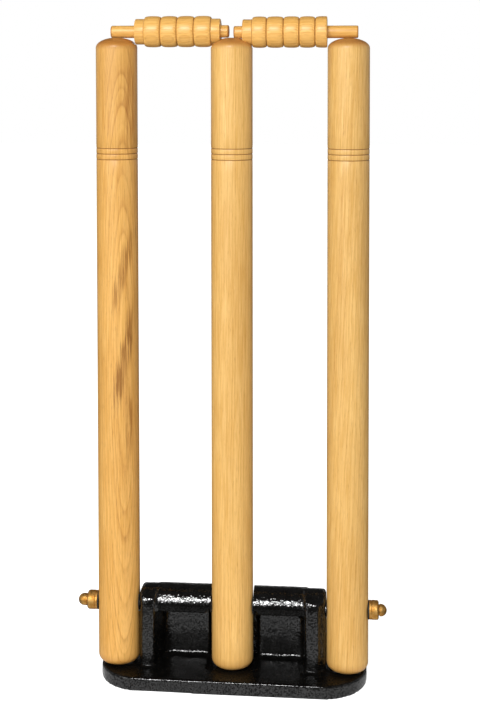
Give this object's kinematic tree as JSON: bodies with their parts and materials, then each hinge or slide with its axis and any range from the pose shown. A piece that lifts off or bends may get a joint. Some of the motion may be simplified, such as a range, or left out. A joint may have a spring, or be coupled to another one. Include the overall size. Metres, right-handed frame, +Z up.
{
  "type": "spring return cricket stumps",
  "caption": "Upright turned wooden stumps with beaded bails, carried on a sprung cross rod in a cast metal base so that they swing back when struck and return.",
  "frame": {"origin": "on the ground, under the axis of the pivot rod and in line with the centre stump", "axes": "+Z up along the stumps, +X along the rod to the right as the bowler sees it, -Y towards the bowler"},
  "size_m": [0.2816, 0.1147, 0.6024],
  "materials": {
    "enamelled_iron": "gloss black enamel on a rough casting",
    "ash": "satin clear lacquer over ash",
    "dark_ash": "satin clear lacquer over darker ash",
    "brass": "bright turned brass",
    "steel": "bright steel",
    "spring_steel": "oiled spring wire",
    "bronze": "sintered bronze",
    "fibre": "matte black fibre",
    "rubber": "matte black rubber"
  },
  "bodies": {
    "base": {"cast_base": "enamelled_iron", "bearing_bush_left": "bronze", "bearing_bush_right": "bronze", "torsion_spring_left": "spring_steel", "torsion_spring_right": "spring_steel", "stop_buffer": "rubber"},
    "stumps": {"stump_left": "dark_ash", "stump_centre": "ash", "stump_right": "ash", "pivot_rod": "steel", "cap_nut_left": "brass", "cap_nut_right": "brass", "brass_washer_left": "brass", "brass_washer_right": "brass", "fibre_washer_left": "fibre", "fibre_washer_right": "fibre", "spacer_washer_left": "steel", "spacer_washer_right": "steel", "thrust_washer_left": "steel", "thrust_washer_right": "steel", "lock_screw_left": "steel", "lock_screw_centre": "steel", "lock_screw_right": "steel"},
    "bail_left": {"bail_left": "ash"},
    "bail_right": {"bail_right": "ash"}
  },
  "joints": [
    {"name": "stumps_swing", "type": "hinge", "parent": "base", "child": "stumps", "pos_m": [0, 0, 0.067], "axis": [-1, 0, 0], "range_deg": [0, 60], "stiffness_Nm_per_rad": 2.5, "springref_deg": -91.67, "deforming": ["torsion_spring_left", "torsion_spring_right"]},
    {"name": "bail_left_lift", "type": "slide", "parent": "stumps", "child": "bail_left", "axis": [0, 0, 1], "range_m": [0, 0.1]},
    {"name": "bail_right_lift", "type": "slide", "parent": "stumps", "child": "bail_right", "axis": [0, 0, 1], "range_m": [0, 0.1]}
  ]
}
